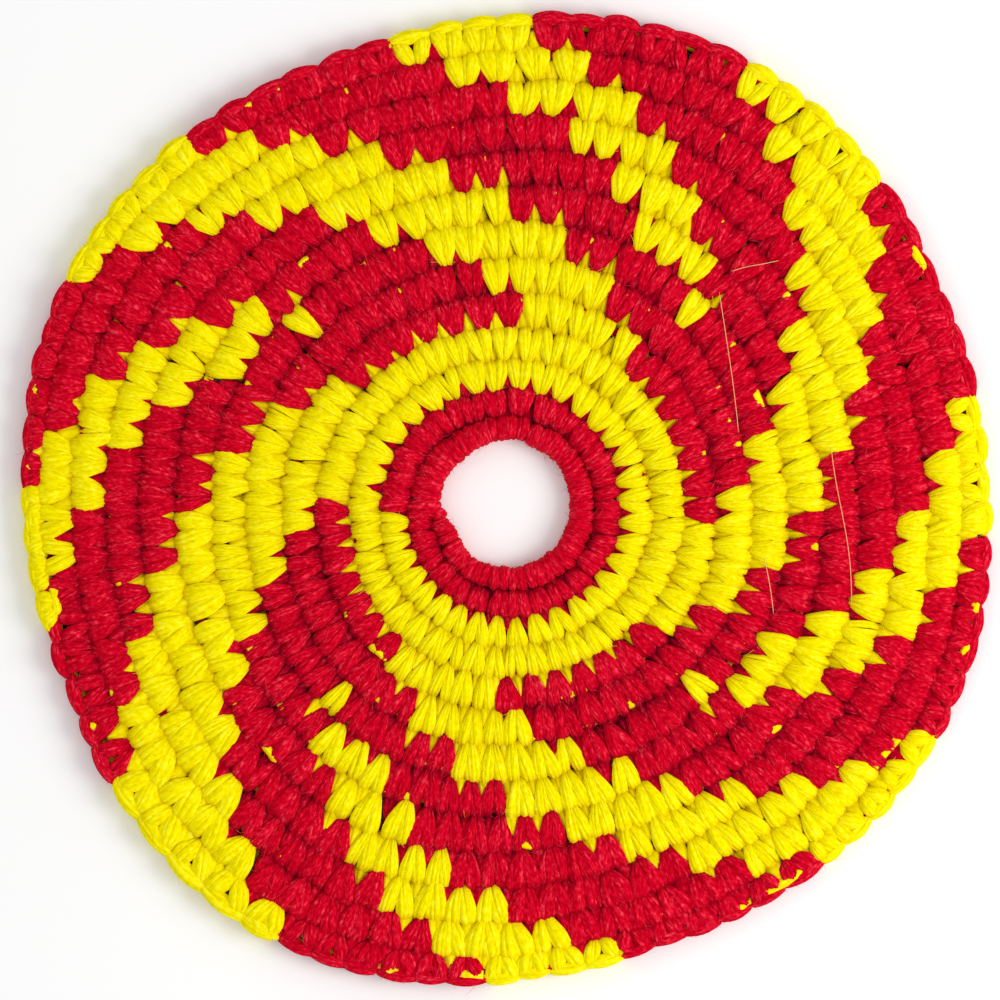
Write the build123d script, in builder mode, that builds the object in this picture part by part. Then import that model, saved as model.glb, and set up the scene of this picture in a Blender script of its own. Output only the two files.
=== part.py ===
from build123d import *

import os
from math import cos, hypot, radians, sin, sqrt

# Crocheted throwing ring: a soft round disc with a small hole, worked in one flat spiral of
# single crochet from the hole to the rim. Two yarns take turns on the face, and the one that
# rests is carried inside the stitches of the other.
#
# Millimetres. The origin is the centre of the hole on the underside, +Z is up through the hole.
# The spiral's seam, where one round climbs onto the next, lies along -X. Turn angles are in
# degrees from the seam, counter-clockwise seen from above, the way the work grew.

# ---- driving dimensions ----
RIM_RADIUS = 120.0
HOLE_RADIUS = 16.0
THICKNESS = 7.0                # about two yarns: the face stitch and the bar behind it
ROUNDS = 13
TALLEST_ROUND = 9.0            # radial height of a round where the stitches stand upright
CENTRE_SQUEEZE = 3.5           # how much lower a round is where it is pulled in
TALLEST_LEVEL = 8.0            # counted in rounds from the spiral's start
SQUEEZE_SPAN = 7.5             # rounds over which the height falls by CENTRE_SQUEEZE
SPIRAL_START_RADIUS = 13.4     # of the spiral itself, a little inside the hole's edge
SPIRAL_DROP = 3.0              # the spiral's centre lies this far towards -Y of the hole's centre
EDGE_ROUND = 2.0               # of a round's upper and lower edges
THIN_EDGE_ROUND = 1.2          # of the first and last rounds, which start or end thin
CARRIED_YARN_RADIUS = 1.3
CHANNEL_RADIUS = 1.5           # the space that the carried yarn has inside the stitches
THINNEST_WALL = 0.8            # of stitch round that space
YARN_CHANGE_ROUND = 3          # the second yarn comes in here and is carried from here on
END_GAP = 0.2                  # degrees left free at each end of a run, where the yarns change
HALF_TURN = 180.0
FULL_TURN = 360.0
QUARTER = 90.0

# The pattern repeats four times in a round. For each patterned round: the turn angle at which
# each run of one colour starts in the first quarter.
PATTERN = {
    5: [("red", -4), ("yellow", 52)],
    6: [("red", 6), ("yellow", 65)],
    7: [("red", 17), ("yellow", 45), ("red", 50), ("yellow", 78)],
    8: [("red", 26), ("yellow", 50), ("red", 66), ("yellow", 90)],
    9: [("red", 33), ("yellow", 58), ("red", 73), ("yellow", 100)],
    10: [("red", 41), ("yellow", 65), ("red", 81), ("yellow", 109)],
    11: [("red", 48), ("yellow", 72), ("red", 90), ("yellow", 117)],
    12: [("red", 55), ("yellow", 80), ("red", 98), ("yellow", 124)],
    13: [("red", 62), ("yellow", 87), ("red", 104), ("yellow", 131)],
}


def level_radius(level):
    """Radius of the spiral's line after so many rounds: its slope is the height of a round."""
    cube = (level - TALLEST_LEVEL) ** 3 + TALLEST_LEVEL ** 3
    squeeze = CENTRE_SQUEEZE * cube / (3 * SQUEEZE_SPAN ** 2)
    return SPIRAL_START_RADIUS + TALLEST_ROUND * level - squeeze


def spiral_point(level, turn):
    """Point on the line between two rounds; each half turn is one circle centred on the seam's line."""
    first_half = turn <= HALF_TURN
    left = level_radius(level if first_half else level + 1)
    right = level_radius(level + 0.5)
    centre_x = (right - left) / 2
    radius = (right + left) / 2
    angle = radians(HALF_TURN + turn)
    return (centre_x + radius * cos(angle), -SPIRAL_DROP + radius * sin(angle))


def circle_point(radius, turn):
    """Point of a circle round the origin, met by the ray from the spiral's centre at this turn."""
    angle = radians(HALF_TURN + turn)
    reach = SPIRAL_DROP * sin(angle) + sqrt(radius ** 2 - (SPIRAL_DROP * cos(angle)) ** 2)
    return (reach * cos(angle), -SPIRAL_DROP + reach * sin(angle))


def inner_point(round_number, turn):
    if round_number == 1:
        return circle_point(HOLE_RADIUS, turn)
    return spiral_point(round_number - 1, turn)


def outer_point(round_number, turn):
    if round_number == ROUNDS:
        return circle_point(RIM_RADIUS, turn)
    return spiral_point(round_number, turn)


def middle_point(round_number, turn):
    inner = inner_point(round_number, turn)
    outer = outer_point(round_number, turn)
    return ((inner[0] + outer[0]) / 2, (inner[1] + outer[1]) / 2)


def arc_line(point_at, round_number, start, end):
    """Arcs from one turn angle to another, broken where the half turns meet."""
    stops = [start, end]
    if start < HALF_TURN < end:
        stops.insert(1, HALF_TURN)
    for first, last in zip(stops, stops[1:]):
        middle = (first + last) / 2
        points = [point_at(round_number, turn) for turn in (first, middle, last)]
        ThreePointArc(*points)


def colour_runs():
    """Every run of one colour as (round, colour, start, end), cut where it crosses the seam."""
    starts = [(0.0, "red"), (FULL_TURN * (YARN_CHANGE_ROUND - 1), "yellow")]
    for round_number, quarter_runs in PATTERN.items():
        for quarter in range(4):
            for colour, turn in quarter_runs:
                starts.append((FULL_TURN * (round_number - 1) + QUARTER * quarter + turn, colour))
    runs = []
    for (start, colour), (end, _) in zip(starts, starts[1:] + [(FULL_TURN * ROUNDS, "")]):
        while start < min(end, FULL_TURN * ROUNDS):
            round_index = int(start // FULL_TURN)
            cut = min(end, FULL_TURN * (round_index + 1))
            before = FULL_TURN * round_index
            runs.append((round_index + 1, colour, start - before + END_GAP, cut - before - END_GAP))
            start = cut
    return runs


def sweep_yarn(round_number, start, end, radius, mode):
    """A yarn of this radius down the middle of a run."""
    with BuildLine(Plane.XY.offset(THICKNESS / 2)) as path:
        arc_line(middle_point, round_number, start, end)
    with BuildSketch(Plane(origin=path.line @ 0, z_dir=path.line % 0)) as section:
        Circle(radius)
    sweep(section.sketch, path.line, mode=mode)


def has_carried_yarn(round_number, end):
    """True but for the first rounds and the last stitches at the rim, too thin to hold a second yarn."""
    inner = inner_point(round_number, end)
    outer = outer_point(round_number, end)
    height = hypot(outer[0] - inner[0], outer[1] - inner[1])
    return round_number >= YARN_CHANGE_ROUND and height > 2 * (CHANNEL_RADIUS + THINNEST_WALL)


def is_not_hole_edge(edge):
    """The hole keeps a straight wall, so only the other long edges are rounded."""
    return edge.radius > HOLE_RADIUS + EDGE_ROUND


RUNS = colour_runs()
os.makedirs("parts", exist_ok=True)

# ---- the stitches: one node for each colour of each round ----
for number in range(1, ROUNDS + 1):
    edge_round = THIN_EDGE_ROUND if number in (1, ROUNDS) else EDGE_ROUND
    for colour in ("red", "yellow"):
        own_runs = [run for run in RUNS if run[0] == number and run[1] == colour]
        if not own_runs:
            continue
        with BuildPart() as crochet_round:
            for _, _, start, end in own_runs:
                with BuildSketch():
                    with BuildLine():
                        arc_line(inner_point, number, start, end)
                        arc_line(outer_point, number, start, end)
                        Line(inner_point(number, start), outer_point(number, start))
                        Line(inner_point(number, end), outer_point(number, end))
                    make_face()
                extrude(amount=THICKNESS)
            long_edges = crochet_round.edges().filter_by(GeomType.CIRCLE)
            fillet(long_edges.filter_by(is_not_hole_edge), edge_round)
            for _, _, start, end in own_runs:
                if has_carried_yarn(number, end):
                    sweep_yarn(number, start, end, CHANNEL_RADIUS, Mode.SUBTRACT)
        node = f"round_{number:02d}_{colour}"
        crochet_round.part.label = node
        export_step(crochet_round.part, f"parts/{node}.step")

# ---- the carried yarns: the red one lies inside the yellow stitches, the yellow inside the red ----
for stitch_colour, carried_colour in (("yellow", "red"), ("red", "yellow")):
    with BuildPart() as carried_yarn:
        for number, colour, start, end in RUNS:
            if colour == stitch_colour and has_carried_yarn(number, end):
                sweep_yarn(number, start, end, CARRIED_YARN_RADIUS, Mode.ADD)
    node = f"carried_{carried_colour}_yarn"
    carried_yarn.part.label = node
    export_step(carried_yarn.part, f"parts/{node}.step")
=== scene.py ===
from math import radians

import bpy
import numpy as np
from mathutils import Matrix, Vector


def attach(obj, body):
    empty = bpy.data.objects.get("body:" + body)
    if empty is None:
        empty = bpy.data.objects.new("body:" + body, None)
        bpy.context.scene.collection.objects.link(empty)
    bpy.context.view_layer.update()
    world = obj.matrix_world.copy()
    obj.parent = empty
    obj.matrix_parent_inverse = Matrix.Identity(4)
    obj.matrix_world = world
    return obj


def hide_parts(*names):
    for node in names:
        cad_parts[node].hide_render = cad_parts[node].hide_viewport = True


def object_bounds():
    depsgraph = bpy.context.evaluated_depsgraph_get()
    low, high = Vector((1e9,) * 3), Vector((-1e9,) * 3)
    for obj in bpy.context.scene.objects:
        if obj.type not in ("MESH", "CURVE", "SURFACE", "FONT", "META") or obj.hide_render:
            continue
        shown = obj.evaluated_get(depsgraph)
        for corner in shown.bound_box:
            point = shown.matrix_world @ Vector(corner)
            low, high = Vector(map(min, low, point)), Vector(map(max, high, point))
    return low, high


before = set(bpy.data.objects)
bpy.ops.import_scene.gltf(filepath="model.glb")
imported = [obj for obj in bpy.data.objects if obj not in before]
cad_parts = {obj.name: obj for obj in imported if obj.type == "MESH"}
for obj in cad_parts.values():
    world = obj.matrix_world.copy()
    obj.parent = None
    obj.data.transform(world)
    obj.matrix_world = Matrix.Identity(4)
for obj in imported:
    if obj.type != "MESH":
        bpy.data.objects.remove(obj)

# A crocheted throwing ring. Every stitch is built as the yarn runs in single crochet: two plump
# legs in a V on the face, a bar and two short legs behind, the resting yarn carried inside, and
# the loop of the round below showing between the Vs. There is one piece for each colour of each
# round, as in the frame.
#
# Lengths in the stitch code are millimetres and become metres when a mesh is made.

MM = 0.001
CAD_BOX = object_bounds()
RANDOM = np.random.RandomState(7)

# ---- sizes shared with the frame ----
RIM_RADIUS = (CAD_BOX[1][0] - CAD_BOX[0][0]) / 2 / MM
HOLE_RADIUS = 16.2
MIDDLE_PLANE = 3.5             # halfway up the ring's thickness
ROUNDS = 13
TALLEST_ROUND = 9.0            # radial height of a round where the stitches stand upright
CENTRE_SQUEEZE = 3.5           # how much lower a round is where it is pulled in
TALLEST_LEVEL = 8.0            # counted in rounds from the spiral's start
SQUEEZE_SPAN = 7.5
SPIRAL_START_RADIUS = 13.4
SPIRAL_DROP = 3.0              # the spiral's centre lies this far towards -Y of the hole's centre
FULL_TURN = 360.0
QUARTERS = 4
QUARTER = FULL_TURN / QUARTERS
SEAM_ANGLE = 180.0             # the spiral starts on the -X side
LAST_TURN = FULL_TURN * ROUNDS + 14.0    # the last stitches overlap the start of their round

# ---- the crochet pattern ----
# Stitches in each of the four plain rounds, then for each patterned round the runs of its first
# quarter: colour, turn angle where the run starts, and stitches in it. It repeats four times.
PLAIN_STITCHES = [24, 28, 36, 44]
YARN_CHANGE_ROUND = 3
PATTERN = {
    5: [("red", -4, 7), ("yellow", 52, 5)],
    6: [("red", 6, 9), ("yellow", 65, 5)],
    7: [("red", 17, 5), ("yellow", 45, 1), ("red", 50, 5), ("yellow", 78, 5)],
    8: [("red", 26, 5), ("yellow", 50, 3), ("red", 66, 5), ("yellow", 90, 5)],
    9: [("red", 33, 5), ("yellow", 58, 3), ("red", 73, 6), ("yellow", 100, 5)],
    10: [("red", 41, 5), ("yellow", 65, 4), ("red", 81, 6), ("yellow", 109, 5)],
    11: [("red", 48, 6), ("yellow", 72, 4), ("red", 90, 6), ("yellow", 117, 5)],
    12: [("red", 55, 6), ("yellow", 80, 4), ("red", 98, 6), ("yellow", 124, 5)],
    13: [("red", 62, 6), ("yellow", 87, 4), ("red", 104, 6), ("yellow", 131, 5)],
}

# ---- how the finished ring lies ----
LOBES = 4                      # soft corners, as the increases pull the rounds
LOBE_HEIGHT = 2.4
LOBE_ANGLE = 61.0              # degrees from +X to the first corner
OVAL_HEIGHT = 1.2
RIPPLES = 3                    # the disc isn't quite flat
RIPPLE_HEIGHT = 0.35
RIPPLE_PHASE = 0.6
HOLE_SHIFT = (-0.4, -1.3)      # the hole sits a little off the rim's centre
START_BUMP = 1.6               # the first stitches stand into the hole
START_BUMP_TURN = 24.0
START_BUMP_WIDTH = 20.0

# ---- irregularities, as the mean and deviation of a normal distribution ----
STITCH_STRAY = {
    "spread": (1.03, 0.11),        # how far the legs stand apart
    "lean": (0.02, 0.09),          # how much the stitch slants along the round
    "tip_shift": (0, 0.04),
    "tip_height": (0, 0.04),
    "lift": (0, 0.15),
    "plump": (1.0, 0.04),
}
GAP_STRAY = {
    "lean": (0, 0.05),
    "tip_shift": (0, 0.03),
    "tip_height": (0, 0.04),
    "lift": (0, 0.12),
    "plump": (1.0, 0.05),
}
SIDEWAYS_STRAY = 0.012         # of single yarns, in stitch widths
HEIGHT_STRAY = 0.015           # in round heights
LIFT_STRAY = 0.05

BORDER_NUDGE = 0.01            # degrees past a border shared by two stitches


# ---------------------------------------------------------------- the spiral

def level_radius(level):
    """Radius of the line between two rounds, after so many rounds of the spiral."""
    cube = (level - TALLEST_LEVEL) ** 3 + TALLEST_LEVEL ** 3
    squeeze = CENTRE_SQUEEZE * cube / (3 * SQUEEZE_SPAN ** 2)
    return SPIRAL_START_RADIUS + TALLEST_ROUND * level - squeeze


def circle_reach(radius, angle, centre=(0.0, 0.0)):
    """Distance from the spiral's centre, along this angle, to a circle round the given centre."""
    across = centre[0] * np.sin(angle) - (centre[1] + SPIRAL_DROP) * np.cos(angle)
    along = centre[0] * np.cos(angle) + (centre[1] + SPIRAL_DROP) * np.sin(angle)
    return along + np.sqrt(radius ** 2 - across ** 2)


def place(number, turn, height, z):
    """Point in a round: turn in degrees along the whole spiral, height 0 to 1 across the round."""
    level = turn / FULL_TURN
    angle = np.radians(SEAM_ANGLE + turn)
    bump = START_BUMP * np.exp(-((turn - START_BUMP_TURN) / START_BUMP_WIDTH) ** 2)
    hole = circle_reach(HOLE_RADIUS, angle, HOLE_SHIFT) - bump
    inner = hole if number == 1 else level_radius(level)
    outer = circle_reach(RIM_RADIUS, angle) if number == ROUNDS else level_radius(level + 1)
    reach = inner + (outer - inner) * height
    x = reach * np.cos(angle)
    y = reach * np.sin(angle) - SPIRAL_DROP
    around = np.arctan2(y, x)
    share = np.hypot(x, y) / RIM_RADIUS
    lobes = LOBE_HEIGHT * np.cos(LOBES * (around - radians(LOBE_ANGLE)))
    oval = OVAL_HEIGHT * np.sin(2 * around)
    grow = 1 + (lobes + oval) * share / RIM_RADIUS
    ripple = RIPPLE_HEIGHT * share ** 2 * (np.sin(RIPPLES * around + RIPPLE_PHASE) + 1)
    return np.stack([x * grow, y * grow, z + ripple], -1)


def round_stitches(round_number):
    if round_number <= len(PLAIN_STITCHES):
        return PLAIN_STITCHES[round_number - 1]
    return QUARTERS * sum(count for _, _, count in PATTERN[min(round_number, ROUNDS)])


def colour_runs():
    """Runs of one colour along the spiral, as (start turn, end turn, colour, stitches)."""
    starts = []
    for index, count in enumerate(PLAIN_STITCHES):
        colour = "red" if index < YARN_CHANGE_ROUND - 1 else "yellow"
        starts.append((FULL_TURN * index, colour, count))
    for number, quarter_runs in PATTERN.items():
        for quarter in range(QUARTERS):
            for colour, turn, count in quarter_runs:
                starts.append((FULL_TURN * (number - 1) + QUARTER * quarter + turn, colour, count))
    starts = [run for run in starts if run[0] < LAST_TURN]
    ends = [run[0] for run in starts[1:]] + [LAST_TURN]
    runs = []
    for (start, colour, count), end in zip(starts, ends):
        # a run that crosses into the next round is worked at that round's gauge
        first_round = int(start // FULL_TURN) + 1
        last_round = int((end - 1) // FULL_TURN) + 1
        crosses = first_round != last_round and first_round > len(PLAIN_STITCHES)
        if crosses or end == LAST_TURN:
            count = max(1, round((end - start) * round_stitches(last_round) / FULL_TURN))
        runs.append((start, end, colour, count))
    return runs


RUNS = colour_runs()


class Stitches:
    """All the stitches as arrays, in working order, with their small irregularities."""

    def __init__(self):
        turns, pitches, colours = [], [], []
        for start, end, colour, count in RUNS:
            pitch = (end - start) / count
            turns += [start + (index + 0.5) * pitch for index in range(count)]
            pitches += [pitch] * count
            colours += [colour] * count
        self.turn = np.array(turns)
        self.pitch = np.array(pitches)
        self.colour = np.array(colours)
        self.round = np.minimum((self.turn // FULL_TURN).astype(int) + 1, ROUNDS)
        middle = level_radius(self.turn / FULL_TURN + 0.5)
        self.width = middle * np.radians(self.pitch)
        self.stray(STITCH_STRAY)

    def stray(self, amounts):
        for name, (mean, deviation) in amounts.items():
            setattr(self, name, RANDOM.normal(mean, deviation, len(self.turn)))

    def colour_at(self, turn):
        """Colour of the stitch that covers each turn angle, and at a border of the later one."""
        index = np.searchsorted(self.turn + self.pitch / 2, turn + BORDER_NUDGE)
        return self.colour[np.clip(index, 0, len(self.colour) - 1)]


class Gaps(Stitches):
    """The places between neighbouring stitches, where the loop of the round below shows."""

    def __init__(self, stitches):
        self.turn = stitches.turn - stitches.pitch / 2
        self.pitch = stitches.pitch
        self.width = stitches.width
        self.round = stitches.round
        self.colour = stitches.colour_at(self.turn - FULL_TURN)
        self.spread = np.ones(len(self.turn))
        self.stray(GAP_STRAY)


# ---------------------------------------------------------------- yarn as mesh

UPWARD = np.array([0.0, 0.0, 1.0])
DOWNWARD = -UPWARD

FLATTEN = 0.84                 # under 1 the yarn is flatter than an ellipse
SEEN_ARC = (-18.0, 198.0)      # degrees of a yarn's outline that belong to its seen face
PLY_KINDS = 8                  # plies that differ a little in size, taken in turn
PLY_STRAY = 0.3
TWIST = 0.055                  # plies that pass by per millimetre, because the yarn is twisted
TEXTURE_SHIFT = 50.0           # each yarn's surface starts elsewhere, up to this many millimetres
OPEN_HEIGHT = 0.6              # millimetres from the middle plane where the painted shade starts to clear
OPEN_SPAN = 2.5                # and over how many more it is clear

STRAND_REACH = 0.77            # strand centres from the yarn's centre, as a share of its half width
STRAND_THICKNESS = 1.42        # over 1, so that neighbours sink into each other
STRAND_LEAN = 0.45             # radians that the strands wind round the yarn along one leg
STRAND_STRAY = 0.10            # in their angle and in their thickness
STRAND_SWAY = 0.07             # sideways, as a share of the yarn's half width
SWAY_WAVE = 5.0                # radians of sway along one leg
SWAY_PHASE = 6.0

NOSE_SHARE = 0.16              # share of a yarn's length that closes in a round nose
NOSE_TIP = 0.02                # keeps the very end from shrinking to nothing


class Section:
    """Outline of a yarn cut across, from one side over the seen face and back underneath."""

    def __init__(self, plies, steps, under, depth):
        top = plies * steps + 1
        seen = np.linspace(radians(SEEN_ARC[0]), radians(SEEN_ARC[1]), top)
        hidden = np.linspace(radians(SEEN_ARC[1]), radians(SEEN_ARC[0] + 360), under + 2)[1:-1]
        angle = np.concatenate([seen, hidden])
        self.wide = np.sign(np.cos(angle)) * np.abs(np.cos(angle)) ** FLATTEN
        self.high = np.sign(np.sin(angle)) * np.abs(np.sin(angle)) ** FLATTEN
        over = np.linspace(0, plies, top)
        back = np.linspace(plies, 0, under + 2)[1:-1]
        self.across = np.concatenate([over, back])
        self.points = len(angle)
        self.depth = depth


BACK_YARN = Section(plies=4, steps=3, under=4, depth=0.10)
STRAND = Section(plies=2, steps=2, under=2, depth=0.03)
THREAD = Section(plies=1, steps=2, under=1, depth=0.0)


def smooth_path(points, samples):
    """Cubic B-spline through the first and last control points, shape (yarn, point, value)."""
    before = 2 * points[:, :1] - points[:, 1:2]
    after = 2 * points[:, -1:] - points[:, -2:-1]
    points = np.concatenate([before, points, after], 1)
    spans = points.shape[1] - 3
    at = np.linspace(0, spans - 1e-6, samples)
    span = at.astype(int)
    t = (at - span)[None, :, None]
    weights = [(1 - t) ** 3, 3 * t ** 3 - 6 * t ** 2 + 4, -3 * t ** 3 + 3 * t ** 2 + 3 * t + 1, t ** 3]
    return sum(weight * points[:, span + k] for k, weight in enumerate(weights)) / 6


def round_ends(samples, share=NOSE_SHARE):
    """Scale along a yarn that closes both ends in a round nose."""
    at = np.linspace(0, 1, samples)
    nearest = np.clip(np.minimum(at, 1 - at) / share, 0, 1)
    return np.sqrt(np.clip(1 - (1 - nearest) ** 2, NOSE_TIP, 1))


def frames(centre, side, facing):
    """Unit vectors along, across and up from each yarn, with up towards its seen face."""
    tangent = np.gradient(centre, axis=1)
    tangent /= np.linalg.norm(tangent, axis=2, keepdims=True)
    side = side - (side * tangent).sum(2, keepdims=True) * tangent
    side /= np.linalg.norm(side, axis=2, keepdims=True)
    up = np.cross(side, tangent)
    turned = np.where((up * facing).sum(2).mean(1) < 0, -1.0, 1.0)[:, None, None]
    return tangent, side * turned, up * turned


class YarnMesh:
    """Collects the swept yarns of one piece."""

    def __init__(self):
        self.verts, self.quads, self.caps, self.data = [], [], [], []
        self.skin = []             # points and directions where loose fibres may leave the yarn
        self.count = 0

    def add_strands(self, strands, centre, side, facing, half_width, half_height, open_side=False):
        """Sweeps yarns as strands that lie side by side over the seen half of each yarn."""
        yarns, samples, _ = centre.shape
        tangent, side, up = frames(centre, side, facing)
        thickness = STRAND_THICKNESS * np.sin(np.pi / (2 * strands))
        wind = np.linspace(-STRAND_LEAN, STRAND_LEAN, samples)
        wave = np.linspace(0, SWAY_WAVE, samples)
        for index in range(strands):
            angle = np.pi * (index + 0.5) / strands + RANDOM.normal(0, STRAND_STRAY, (yarns, 1)) + wind
            sway = RANDOM.normal(0, STRAND_SWAY, (yarns, 1))
            sway = sway * np.sin(wave + SWAY_PHASE * RANDOM.rand(yarns, 1))
            across = (np.cos(angle) * STRAND_REACH + sway) * half_width
            rise = np.sin(angle) * STRAND_REACH * half_height
            line = centre + side * across[..., None] + up * rise[..., None]
            size = thickness * RANDOM.normal(1.0, STRAND_STRAY, (yarns, 1))
            self.add(STRAND, line, side, facing, half_width * size, half_width * size, open_side)

    def add(self, section, centre, side, facing, half_width, half_height, open_side=False):
        """Sweeps yarns along centre lines, shape (yarn, sample, 3).

        side is the direction across the yarn, and facing the direction that its seen face looks.
        open_side is true for yarns that no other yarn shades, and they get no painted shade.
        """
        yarns, samples, _ = centre.shape
        tangent, side, up = frames(centre, side, facing)
        step = np.linalg.norm(np.diff(centre, axis=1), axis=2)
        along = np.concatenate([np.zeros((yarns, 1)), np.cumsum(step, 1)], 1)
        along = along + RANDOM.rand(yarns, 1) * TEXTURE_SHIFT
        across = section.across[None, None] + (along * TWIST)[:, :, None]
        kinds = RANDOM.normal(1.0, PLY_STRAY, (yarns, PLY_KINDS))
        kind = np.floor(across).astype(int) % PLY_KINDS
        bulge = np.abs(np.sin(np.pi * across)) * np.take_along_axis(kinds[:, None], kind, 2)
        scale = 1 - section.depth * (1 - bulge)

        wide = (section.wide * scale * half_width[:, :, None])[..., None]
        high = (section.high * scale * half_height[:, :, None])[..., None]
        verts = centre[:, :, None] + wide * side[:, :, None] + high * up[:, :, None]
        verts[..., 2] = np.maximum(verts[..., 2], 0.0)

        tone = RANDOM.rand(yarns)
        # painted shade: the colour darkens towards the middle plane, where stitches shade each other;
        # this depth is 0 there and 1 where a yarn is clear
        depth = np.clip((np.abs(verts[..., 2] - MIDDLE_PLANE) - OPEN_HEIGHT) / OPEN_SPAN, 0, 1)
        if open_side:
            depth = np.ones_like(depth)
        data = np.empty((yarns, samples, section.points, 4))
        data[..., 0] = across
        data[..., 1] = along[:, :, None]
        data[..., 2] = tone[:, None, None]
        data[..., 3] = depth

        ring = np.arange(section.points)
        row = np.arange(samples - 1)[:, None] * section.points
        first, second = row + ring, row + (ring + 1) % section.points
        quads = np.stack([first, first + section.points, second + section.points, second], -1)
        base = self.count + np.arange(yarns)[:, None] * samples * section.points
        self.quads.append((base[:, :, None] + quads.reshape(1, -1, 4)).reshape(-1, 4))
        self.caps.append(base + ring)
        self.caps.append(base + (samples - 1) * section.points + ring[::-1])
        self.verts.append(verts.reshape(-1, 3))
        self.data.append(data.reshape(-1, 4))
        self.skin.append((centre + up * half_height[..., None], tangent, side, up))
        self.count += yarns * samples * section.points

    def make(self, name, material):
        loops = [np.concatenate(self.quads).ravel()] + [cap.ravel() for cap in self.caps]
        sizes = [np.full(sum(len(quads) for quads in self.quads), 4)]
        sizes += [np.full(len(cap), cap.shape[1]) for cap in self.caps]
        loops = np.concatenate(loops).astype(np.int32)
        sizes = np.concatenate(sizes)
        starts = np.concatenate([[0], np.cumsum(sizes)[:-1]]).astype(np.int32)
        verts = np.concatenate(self.verts) * MM
        mesh = bpy.data.meshes.new(name)
        mesh.vertices.add(len(verts))
        mesh.vertices.foreach_set("co", verts.ravel())
        mesh.loops.add(len(loops))
        mesh.loops.foreach_set("vertex_index", loops)
        mesh.polygons.add(len(sizes))
        mesh.polygons.foreach_set("loop_start", starts)
        mesh.polygons.foreach_set("use_smooth", np.ones(len(sizes), dtype=bool))
        mesh.update(calc_edges=True)
        data = np.concatenate(self.data)
        surface = mesh.attributes.new("yarn", "FLOAT_VECTOR", "POINT")
        surface.data.foreach_set("vector", data[:, :3].ravel())
        # the depth attribute carries the painted shade between stitches to the material
        depth = mesh.attributes.new("depth", "FLOAT", "POINT")
        depth.data.foreach_set("value", data[:, 3].copy())
        mesh.materials.append(material)
        mesh.validate()
        piece = bpy.data.objects.new(name, mesh)
        bpy.context.scene.collection.objects.link(piece)
        return piece


# ---------------------------------------------------------------- the stitch's yarns

class Shape:
    """One yarn of a stitch: the points of its path, and how it is swept.

    Each point is: sideways in stitch widths, height in the round, millimetres above the table,
    half width as a share of the stitch's width, half thickness in millimetres. A yarn with no
    strands is a single sweep. along_round is true for yarns that run along the round.
    """

    def __init__(self, points, samples, strands=0, facing=UPWARD, along_round=False, open_side=False):
        self.points = np.array(points)
        self.samples = samples
        self.strands = strands
        self.facing = facing
        self.along_round = along_round
        self.open_side = open_side


LEG = Shape([
    (0.055, -0.24, 3.70, 0.080, 0.75),
    (0.080, -0.10, 4.30, 0.135, 1.00),
    (0.130, 0.11, 5.05, 0.195, 1.20),
    (0.185, 0.33, 5.65, 0.240, 1.25),
    (0.240, 0.55, 5.65, 0.280, 1.25),
    (0.270, 0.75, 4.75, 0.285, 1.20),
    (0.265, 0.93, 3.10, 0.230, 1.10),
    (0.215, 1.07, 2.20, 0.140, 0.90),
], samples=10, strands=5)
SECOND_ROUND_LEG = Shape([
    (0.130, -0.08, 2.90, 0.160, 0.80),
    (0.145, 0.04, 3.80, 0.220, 1.00),
    (0.175, 0.18, 4.90, 0.255, 1.20),
    (0.205, 0.36, 5.60, 0.275, 1.25),
    (0.240, 0.55, 5.60, 0.290, 1.25),
    (0.270, 0.75, 4.70, 0.285, 1.20),
    (0.265, 0.93, 3.10, 0.230, 1.10),
    (0.215, 1.07, 2.20, 0.140, 0.90),
], samples=10, strands=5)
RIM_LEG = Shape([
    (0.055, -0.24, 3.70, 0.080, 0.75),
    (0.080, -0.10, 4.30, 0.135, 1.00),
    (0.140, 0.11, 5.05, 0.190, 1.20),
    (0.205, 0.32, 5.45, 0.222, 1.25),
    (0.265, 0.52, 5.25, 0.225, 1.25),
    (0.300, 0.71, 4.40, 0.200, 1.20),
    (0.295, 0.88, 3.40, 0.160, 1.00),
], samples=10, strands=5)
HOLE_WRAP = Shape([
    (0.250, 0.92, 2.2, 0.22, 0.80),
    (0.250, 0.60, 1.1, 0.28, 0.85),
    (0.250, 0.30, 0.9, 0.29, 0.85),
    (0.250, 0.13, 1.9, 0.29, 0.85),
    (0.250, 0.11, 3.5, 0.29, 0.85),
    (0.250, 0.15, 5.0, 0.29, 0.85),
    (0.250, 0.36, 5.7, 0.29, 0.85),
    (0.250, 0.60, 5.3, 0.28, 0.90),
    (0.250, 0.79, 4.1, 0.26, 0.90),
    (0.250, 0.95, 2.8, 0.20, 0.90),
], samples=18, strands=4, open_side=True)
PEAK = Shape([
    (0.0, -0.26, 2.3, 0.22, 0.9),
    (0.0, -0.06, 3.0, 0.25, 1.1),
    (0.0, 0.14, 4.0, 0.22, 1.1),
    (0.0, 0.34, 4.7, 0.15, 1.0),
    (0.0, 0.54, 4.8, 0.06, 0.6),
], samples=8, strands=3)
RIM_FRONT_LOOP = Shape([
    (-0.66, 0.70, 3.6, 0.09, 0.8),
    (-0.36, 0.80, 4.5, 0.15, 1.25),
    (0.00, 0.88, 4.8, 0.18, 1.40),
    (0.36, 0.85, 4.5, 0.15, 1.25),
    (0.66, 0.74, 3.6, 0.09, 0.8),
], samples=10, strands=4, along_round=True, open_side=True)
RIM_BACK_LOOP = Shape([
    (-0.60, 0.86, 3.2, 0.09, 0.9),
    (-0.30, 0.93, 2.6, 0.15, 1.25),
    (0.00, 0.96, 2.4, 0.17, 1.35),
    (0.30, 0.94, 2.6, 0.15, 1.25),
    (0.60, 0.88, 3.2, 0.09, 0.9),
], samples=9, facing=DOWNWARD, along_round=True, open_side=True)
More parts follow.
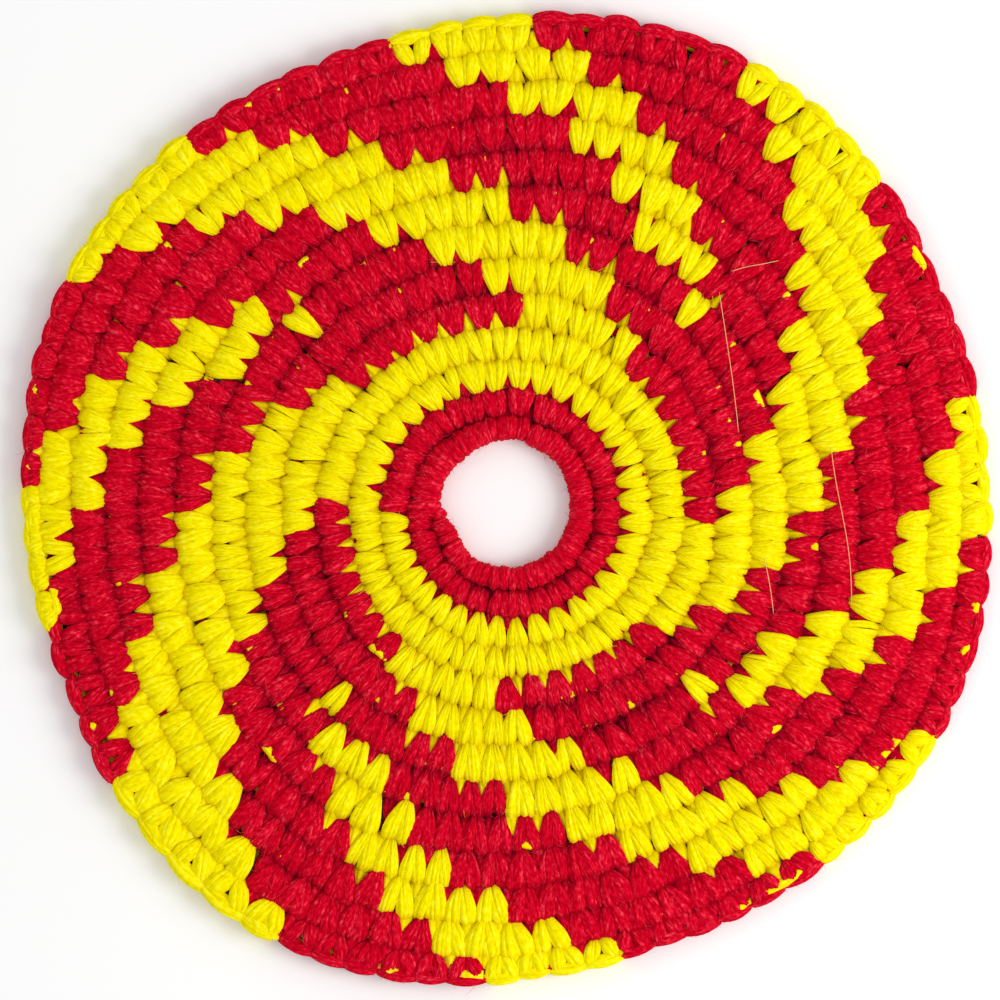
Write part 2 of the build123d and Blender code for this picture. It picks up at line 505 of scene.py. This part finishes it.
BACK_BAR = Shape([
    (-0.60, 0.60, 2.4, 0.10, 0.9),
    (-0.32, 0.68, 1.50, 0.17, 1.25),
    (0.0, 0.74, 1.25, 0.20, 1.25),
    (0.32, 0.78, 1.50, 0.17, 1.25),
    (0.60, 0.84, 2.4, 0.10, 0.9),
], samples=9, facing=DOWNWARD, along_round=True)
BACK_LEG = Shape([
    (0.34, -0.20, 2.6, 0.17, 0.9),
    (0.30, 0.04, 1.7, 0.24, 1.3),
    (0.23, 0.32, 1.45, 0.27, 1.3),
    (0.17, 0.62, 2.2, 0.22, 1.1),
], samples=8, facing=DOWNWARD)

FACE_LEGS = {1: HOLE_WRAP, 2: SECOND_ROUND_LEG, ROUNDS: RIM_LEG}    # the other rounds have LEG
BOTH_SIDES = (-1, 1)
MAX_HALF_WIDTH = 2.5
LEAN_HEIGHT = 0.4              # height in the round that a leaning stitch turns about
SIDE_STEP = 0.05               # share of a stitch or round that tells which way is across a yarn
INNER_GROOVE = 0.7             # the loops sit this much deeper at the hole's own round

CORE_HEIGHT = 0.66             # where in the round the resting yarn runs
CORE_STRAY = 0.04
CORE_Z = {"red": 3.3, "yellow": 3.0}     # lower in the tight red stitches, where it seldom shows
CORE_RISE = {"red": 0.9, "yellow": 2.2}  # where it is pushed up into a gap
CORE_RISE_SHARE = {"red": 0.45, "yellow": 0.22}
RIM_CORE_LIFT = 0.2
CORE_RADIUS = 1.2
CORE_STEP = 2.0                # degrees between the points of its line
PLAIN_CORE_SAMPLES = 90        # points of its line in a plain red round


def sweep_shape(mesh, number, shape, stitches, chosen, mirror=1, sink=0.0):
    """Adds one yarn of this shape for each chosen stitch."""
    if not chosen.any():
        return
    turn, pitch = stitches.turn[chosen][:, None], stitches.pitch[chosen][:, None]
    count = len(turn)
    points = np.repeat(shape.points[None], count, 0)
    points[:, :, 0] *= mirror * stitches.spread[chosen][:, None]
    height = points[:, :, 1].copy()
    points[:, :, 0] += stitches.lean[chosen][:, None] * (height - LEAN_HEIGHT)
    shift = stitches.tip_shift[chosen][:, None]
    points[:, :, 0] += shift + RANDOM.normal(0, SIDEWAYS_STRAY, (count, 1))
    reach = stitches.tip_height[chosen][:, None]
    points[:, :, 1] += reach + RANDOM.normal(0, HEIGHT_STRAY, (count, 1))
    lift = shape.facing[2] * stitches.lift[chosen][:, None]
    points[:, :, 2] += lift + RANDOM.normal(0, LIFT_STRAY, (count, 1)) - sink
    path = smooth_path(points, shape.samples)
    at_turn = turn + path[..., 0] * pitch
    centre = place(number, at_turn, path[..., 1], path[..., 2])
    if shape.along_round:
        side = place(number, at_turn, path[..., 1] + SIDE_STEP, path[..., 2]) - centre
    else:
        side = place(number, at_turn + SIDE_STEP * pitch, path[..., 1], path[..., 2]) - centre
    plump = stitches.plump[chosen][:, None] * round_ends(shape.samples)
    half_width = np.minimum(path[..., 3] * stitches.width[chosen][:, None], MAX_HALF_WIDTH) * plump
    half_height = path[..., 4] * plump
    sweep = (centre, side, shape.facing, half_width, half_height, shape.open_side)
    if shape.strands:
        mesh.add_strands(shape.strands, *sweep)
    else:
        mesh.add(BACK_YARN, *sweep)


def sweep_core(mesh, colour, start, end, samples):
    """A yarn that runs inside the stitches of one round, pushed about a little by them."""
    number = min(int((start + end) / 2 // FULL_TURN) + 1, ROUNDS)
    turn = np.linspace(start, end, samples)[None]
    height = CORE_HEIGHT + RANDOM.normal(0, CORE_STRAY, turn.shape)
    z = CORE_Z[colour] + CORE_RISE[colour] * (RANDOM.rand(*turn.shape) < CORE_RISE_SHARE[colour])
    if number == ROUNDS:
        z += RIM_CORE_LIFT
    centre = place(number, turn, height, z)
    side = place(number, turn, height + SIDE_STEP, z) - centre
    radius = np.full(turn.shape, CORE_RADIUS)
    mesh.add(BACK_YARN, centre, side, UPWARD, radius, radius)


def build_face(mesh, stitches, chosen, number):
    for mirror in BOTH_SIDES:
        sweep_shape(mesh, number, FACE_LEGS.get(number, LEG), stitches, chosen, mirror)
    if number == ROUNDS:
        sweep_shape(mesh, number, RIM_FRONT_LOOP, stitches, chosen)
        sweep_shape(mesh, number, RIM_BACK_LOOP, stitches, chosen)


def build_back(mesh, stitches, chosen, number):
    if number > 1:
        for mirror in BOTH_SIDES:
            sweep_shape(mesh, number, BACK_LEG, stitches, chosen, mirror)
        sweep_shape(mesh, number, BACK_BAR, stitches, chosen)


def build_rounds(stitches):
    """The meshes of the rounds, by round and colour. A peak is made of the round below it."""
    meshes = {}
    gaps = Gaps(stitches)
    for number in range(1, ROUNDS + 1):
        for colour in ("red", "yellow"):
            chosen = (stitches.round == number) & (stitches.colour == colour)
            loops = (gaps.round == number + 1) & (gaps.colour == colour)
            if not (chosen.any() or loops.any()):
                continue
            mesh = meshes[number, colour] = YarnMesh()
            build_face(mesh, stitches, chosen, number)
            build_back(mesh, stitches, chosen, number)
            sink = INNER_GROOVE if number == 1 else 0.0
            sweep_shape(mesh, number + 1, PEAK, gaps, loops, sink=sink)
            if number < YARN_CHANGE_ROUND:
                start = FULL_TURN * (number - 1)
                sweep_core(mesh, colour, start, start + FULL_TURN, PLAIN_CORE_SAMPLES)
    return meshes


def cut_at_seam(start, end):
    """The parts of a run that lie in different rounds."""
    cuts = [FULL_TURN * k for k in range(1, ROUNDS) if start < FULL_TURN * k < end]
    stops = [start] + cuts + [end]
    return list(zip(stops, stops[1:]))


def build_resting_yarns():
    """The yarn that rests is carried inside every run of the other colour."""
    meshes = {"red": YarnMesh(), "yellow": YarnMesh()}
    for start, end, colour, _ in RUNS:
        resting = "yellow" if colour == "red" else "red"
        if start >= FULL_TURN * (YARN_CHANGE_ROUND - 1):
            for first, last in cut_at_seam(start, end):
                samples = max(3, round((last - first) / CORE_STEP))
                sweep_core(meshes[resting], resting, first, last, samples)
    return meshes


# ---------------------------------------------------------------- loose fibres

FIBRES = {"red": 5500, "yellow": 2400}
FIBRE_RADIUS = 0.035
FIBRE_SAMPLES = 5
FIBRE_NOSE_SHARE = 0.3
FIBRE_LENGTH = (4.0, 0.45)     # shape and scale of a gamma distribution
FIBRE_SIDEWAYS = 0.45
FIBRE_RISE = (0.12, 0.14)
FIBRE_TOP_RISE = 0.4
FIBRE_CURL = 0.35
FIBRE_ROOT = 0.05              # fibres start this far inside the yarn
FIBRE_POINTS = [(0.3, 0.0, 1.0), (0.65, 0.5, 1.6), (1.0, 1.0, 1.2)]    # shares of length, curl and rise
FIBRE_DIRECTION = np.array([1.0, 1.0, 0.35])    # they lie flatter than the yarn they leave


def build_fibres(meshes, colour):
    """Fine hairs that stand a little off the yarns of one colour."""
    skins = [skin for key, mesh in sorted(meshes.items()) if key[1] == colour for skin in mesh.skin]
    flat = [np.concatenate([skin[k].reshape(-1, 3) for skin in skins]) for k in range(4)]
    pick = RANDOM.choice(len(flat[0]), FIBRES[colour], replace=False)
    start, tangent, side, up = [values[pick] for values in flat]
    size = (len(pick), 1)
    length = RANDOM.gamma(*FIBRE_LENGTH, size)
    sideways = RANDOM.normal(0, FIBRE_SIDEWAYS, size)
    rise = np.clip(RANDOM.normal(*FIBRE_RISE, size), 0, FIBRE_TOP_RISE)
    curl = RANDOM.normal(0, FIBRE_CURL, size)
    run = (tangent + side * sideways) * FIBRE_DIRECTION
    controls = [start - up * FIBRE_ROOT]
    for along, bend, lift in FIBRE_POINTS:
        controls.append(start + (run + side * curl * bend) * length * along + up * rise * lift)
    path = smooth_path(np.stack(controls, 1), FIBRE_SAMPLES)
    across = np.repeat(side[:, None], FIBRE_SAMPLES, 1)
    radius = np.full(path.shape[:2], FIBRE_RADIUS) * round_ends(FIBRE_SAMPLES, FIBRE_NOSE_SHARE)
    mesh = YarnMesh()
    mesh.add(THREAD, path, across, UPWARD, radius, radius)
    return mesh


# Stray yellow plies that lie across the red stitches: points in millimetres from the hole's centre.
STRAY_PLIES = [
    [(55.1, 56.0), (59.0, 57.2), (62.6, 57.7), (67.0, 58.7)],
    [(52.2, 51.0), (53.2, 44.0), (54.3, 37.0), (55.4, 29.5), (56.2, 23.0), (57.0, 16.0)],
    [(79.4, 16.0), (80.4, 6.5), (82.0, -1.5), (83.6, -9.5), (84.6, -17.0), (84.9, -26.5)],
    [(63.2, -14.0), (64.2, -19.0), (64.9, -23.0), (65.6, -28.5)],
]
STRAY_RADIUS = 0.09
STRAY_Z = 7.8
STRAY_WAVE = 0.2
STRAY_END_DROP = 1.0           # the ends go down between the stitches
STRAY_SAMPLES = 8              # for each point of the ply
STRAY_NOSE_SHARE = 0.1


def build_stray_plies():
    mesh = YarnMesh()
    for points in STRAY_PLIES:
        controls = np.array([[x, y, STRAY_Z] for x, y in points])[None]
        controls[:, 1:-1, 2] += RANDOM.normal(0, STRAY_WAVE, (1, len(points) - 2))
        controls[:, [0, -1], 2] -= STRAY_END_DROP
        samples = STRAY_SAMPLES * len(points)
        path = smooth_path(controls, samples)
        side = np.cross(np.gradient(path, axis=1), UPWARD)
        radius = np.full(path.shape[:2], STRAY_RADIUS) * round_ends(samples, STRAY_NOSE_SHARE)
        mesh.add(THREAD, path, side, UPWARD, radius, radius)
    return mesh


# ---------------------------------------------------------------- materials

# where each tone of a yarn lies on the scale from its darkest fibres to its brightest, and the top tone
# is a painted glint of shiny fibres
DARK_AT, MIDDLE_AT, LIGHT_AT, PAINTED_GLINT_AT = 0.30, 0.55, 0.72, 0.90
# how much each feature counts on that scale; the ply term darkens the grooves between plies as painted
# shade
PLY_PAINTED_SHADE, FIBRE_SHADE, STREAK_SHADE, YARN_SHADE = 0.12, 1.25, 0.25, 0.14
SHADE_OFFSET = -0.32
# and how much in the relief
PLY_RELIEF, FIBRE_RELIEF = 0.5, 0.9
PLY_POWER = 0.6                # under 1 the grooves between plies are narrow
# shapes how the painted shade between stitches clears with depth
PAINTED_SHADE_POWER = 0.8
YARN_SEED_SPAN = 60.0          # yarns take their pattern from places this far apart
BUMP_STRENGTH = 0.6
BUMP_HEIGHT = 0.00022          # metres


def plain_material(name, colour, roughness):
    material = bpy.data.materials.new(name)
    material.use_nodes = True
    shader = material.node_tree.nodes["Principled BSDF"]
    shader.inputs["Base Color"].default_value = (*colour, 1)
    shader.inputs["Roughness"].default_value = roughness
    shader.inputs["Specular IOR Level"].default_value = 0.1
    return material


def yarn_material(name, painted_glint, light, middle, dark, painted_shade, sheen):
    """Twisted yarn: grooves between its plies, darkened there with painted shade, fine fibres along
    them, and uneven dye.

    The colours go from a painted glint over the brightest fibres down to the darkest, and the last
    colour is painted shade between stitches.
    """
    material = bpy.data.materials.new(name)
    material.use_nodes = True
    nodes, links = material.node_tree.nodes, material.node_tree.links
    shader = nodes["Principled BSDF"]
    shader.inputs["Roughness"].default_value = 0.75
    shader.inputs["Specular IOR Level"].default_value = 0.12
    shader.inputs["Specular Tint"].default_value = (*light, 1)
    shader.inputs["Sheen Weight"].default_value = sheen
    shader.inputs["Sheen Roughness"].default_value = 0.5
    shader.inputs["Sheen Tint"].default_value = (*light, 1)

    def math(operation, *values):
        node = nodes.new("ShaderNodeMath")
        node.operation = operation
        for socket, value in zip(node.inputs, values):
            if isinstance(value, (int, float)):
                socket.default_value = value
            else:
                links.new(value, socket)
        return node.outputs[0]

    def noise(scale_across, scale_along, seed, detail):
        spot = nodes.new("ShaderNodeCombineXYZ")
        links.new(math("MULTIPLY", across, scale_across), spot.inputs[0])
        links.new(math("MULTIPLY", along, scale_along), spot.inputs[1])
        links.new(math("MULTIPLY_ADD", tone, YARN_SEED_SPAN, seed), spot.inputs[2])
        texture = nodes.new("ShaderNodeTexNoise")
        texture.inputs["Scale"].default_value = 1.0
        texture.inputs["Detail"].default_value = detail
        links.new(spot.outputs[0], texture.inputs["Vector"])
        return texture.outputs["Fac"]

    yarn = nodes.new("ShaderNodeAttribute")
    yarn.attribute_name = "yarn"
    split = nodes.new("ShaderNodeSeparateXYZ")
    links.new(yarn.outputs["Vector"], split.inputs[0])
    across, along, tone = split.outputs
    # depth is 1 where a yarn is clear of the other stitches and 0 where it lies down between them; it
    # drives the painted shade below
    depth = nodes.new("ShaderNodeAttribute")
    depth.attribute_name = "depth"

    fibres = noise(scale_across=2.4, scale_along=0.8, seed=3.0, detail=4.0)
    streaks = noise(scale_across=0.9, scale_along=0.3, seed=17.0, detail=2.0)
    ply = math("ABSOLUTE", math("SINE", math("MULTIPLY", across, float(np.pi))))
    ply = math("POWER", ply, PLY_POWER)
    relief = math("ADD", math("MULTIPLY", ply, PLY_RELIEF), math("MULTIPLY", fibres, FIBRE_RELIEF))

    # the ply term makes the grooves between plies darker, which is painted shade; fibres, streaks and
    # each yarn's tone are uneven dye
    shade = math("ADD", math("MULTIPLY", ply, PLY_PAINTED_SHADE), math("MULTIPLY", fibres, FIBRE_SHADE))
    shade = math("ADD", shade, math("MULTIPLY", streaks, STREAK_SHADE))
    shade = math("ADD", shade, math("MULTIPLY_ADD", tone, YARN_SHADE, SHADE_OFFSET))
    # the top stop of the ramp is a painted glint of shiny fibres
    ramp = nodes.new("ShaderNodeValToRGB")
    stops = ramp.color_ramp.elements
    stops[0].position, stops[0].color = DARK_AT, (*dark, 1)
    stops[1].position, stops[1].color = PAINTED_GLINT_AT, (*painted_glint, 1)
    stops.new(MIDDLE_AT).color = (*middle, 1)
    stops.new(LIGHT_AT).color = (*light, 1)
    links.new(shade, ramp.inputs["Fac"])

    # painted shade: mixes in the dark colour between stitches, where depth is low
    painted_shade_mix = nodes.new("ShaderNodeMix")
    painted_shade_mix.data_type = "RGBA"
    painted_shade_mix.inputs["A"].default_value = (*painted_shade, 1)
    links.new(math("POWER", depth.outputs["Fac"], PAINTED_SHADE_POWER), painted_shade_mix.inputs["Factor"])
    links.new(ramp.outputs["Color"], painted_shade_mix.inputs["B"])
    links.new(painted_shade_mix.outputs["Result"], shader.inputs["Base Color"])

    bump = nodes.new("ShaderNodeBump")
    bump.inputs["Strength"].default_value = BUMP_STRENGTH
    bump.inputs["Distance"].default_value = BUMP_HEIGHT
    links.new(relief, bump.inputs["Height"])
    links.new(bump.outputs["Normal"], shader.inputs["Normal"])
    return material


# in each yarn the first colour is a painted glint of shiny fibres and the last colour is painted shade
# between stitches
MATERIALS = {
    "red_yarn": yarn_material(
        "red_yarn",
        painted_glint=(0.90, 0.060, 0.095),
        light=(0.74, 0.006, 0.030),
        middle=(0.58, 0.001, 0.015),
        dark=(0.38, 0.0, 0.009),
        painted_shade=(0.095, 0.0, 0.010),
        sheen=0.10,
    ),
    "yellow_yarn": yarn_material(
        "yellow_yarn",
        painted_glint=(1.0, 0.93, 0.05),
        light=(0.98, 0.87, 0.004),
        middle=(0.92, 0.79, 0.0),
        dark=(0.80, 0.63, 0.0),
        painted_shade=(0.60, 0.38, 0.0),
        sheen=0.06,
    ),
    "red_fibre": plain_material("red_fibre", (0.82, 0.07, 0.10), 0.7),
    "yellow_fibre": plain_material("yellow_fibre", (1.0, 0.88, 0.05), 0.7),
    "stray_ply": plain_material("stray_ply", (0.98, 0.60, 0.26), 0.7),
}


# ---------------------------------------------------------------- the pieces

FIRST_RED_RUN = (5, "red")     # it begins just before the seam, so it also stands for the round before


def add_piece(mesh, name, colour, material, *nodes):
    piece = mesh.make(name, MATERIALS[material])
    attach(piece, "root")
    if nodes:
        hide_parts(*nodes)


round_meshes = build_rounds(Stitches())
for (number, colour), mesh in sorted(round_meshes.items()):
    nodes = [f"round_{number:02d}_{colour}"]
    if (number, colour) == FIRST_RED_RUN:
        nodes.append(f"round_{number - 1:02d}_{colour}")
    add_piece(mesh, f"crochet_{number:02d}_{colour}", colour, f"{colour}_yarn", *nodes)
for colour, mesh in build_resting_yarns().items():
    add_piece(mesh, f"resting_{colour}_yarn", colour, f"{colour}_yarn", f"carried_{colour}_yarn")
for colour in ("red", "yellow"):
    add_piece(build_fibres(round_meshes, colour), f"loose_{colour}_fibres", colour, f"{colour}_fibre")
add_piece(build_stray_plies(), "stray_yellow_plies", "yellow", "stray_ply")


# ---------------------------------------------------------------- floor, light and camera

FLOOR_SIZE = 6                 # this and the lengths below are metres
KEY_PLACE = (0.60, -0.12, 0.55)
KEY_SIZE = 0.45
KEY_POWER = 3.5
SKY_STRENGTH = 0.765
PICTURE_WIDTH = 0.248          # width of the picture at the ring
PICTURE_CENTRE = (-0.0019, -0.0004)
CAMERA_HEIGHT = 1.3
SENSOR = 36.0                  # millimetres


def make_floor():
    bpy.ops.mesh.primitive_plane_add(size=FLOOR_SIZE, location=(0, 0, 0))
    floor = bpy.context.object
    floor.name = "floor"
    floor.data.materials.append(plain_material("floor", (0.97, 0.97, 0.97), 0.9))


def make_key_light():
    data = bpy.data.lights.new("key", "AREA")
    data.size = KEY_SIZE
    data.energy = KEY_POWER
    light = bpy.data.objects.new("key", data)
    light.location = KEY_PLACE
    light.rotation_euler = (-Vector(KEY_PLACE)).to_track_quat("-Z", "Y").to_euler()
    bpy.context.scene.collection.objects.link(light)


def make_world():
    world = bpy.data.worlds.new("studio")
    world.use_nodes = True
    background = world.node_tree.nodes["Background"]
    background.inputs["Color"].default_value = (1, 1, 1, 1)
    background.inputs["Strength"].default_value = SKY_STRENGTH
    bpy.context.scene.world = world


def make_camera():
    data = bpy.data.cameras.new("camera")
    data.sensor_width = SENSOR
    data.lens = SENSOR * CAMERA_HEIGHT / PICTURE_WIDTH
    camera = bpy.data.objects.new("camera", data)
    camera.location = (*PICTURE_CENTRE, CAMERA_HEIGHT)
    bpy.context.scene.collection.objects.link(camera)
    bpy.context.scene.camera = camera


make_floor()
make_key_light()
make_world()
make_camera()
bpy.context.scene.view_settings.view_transform = "Standard"
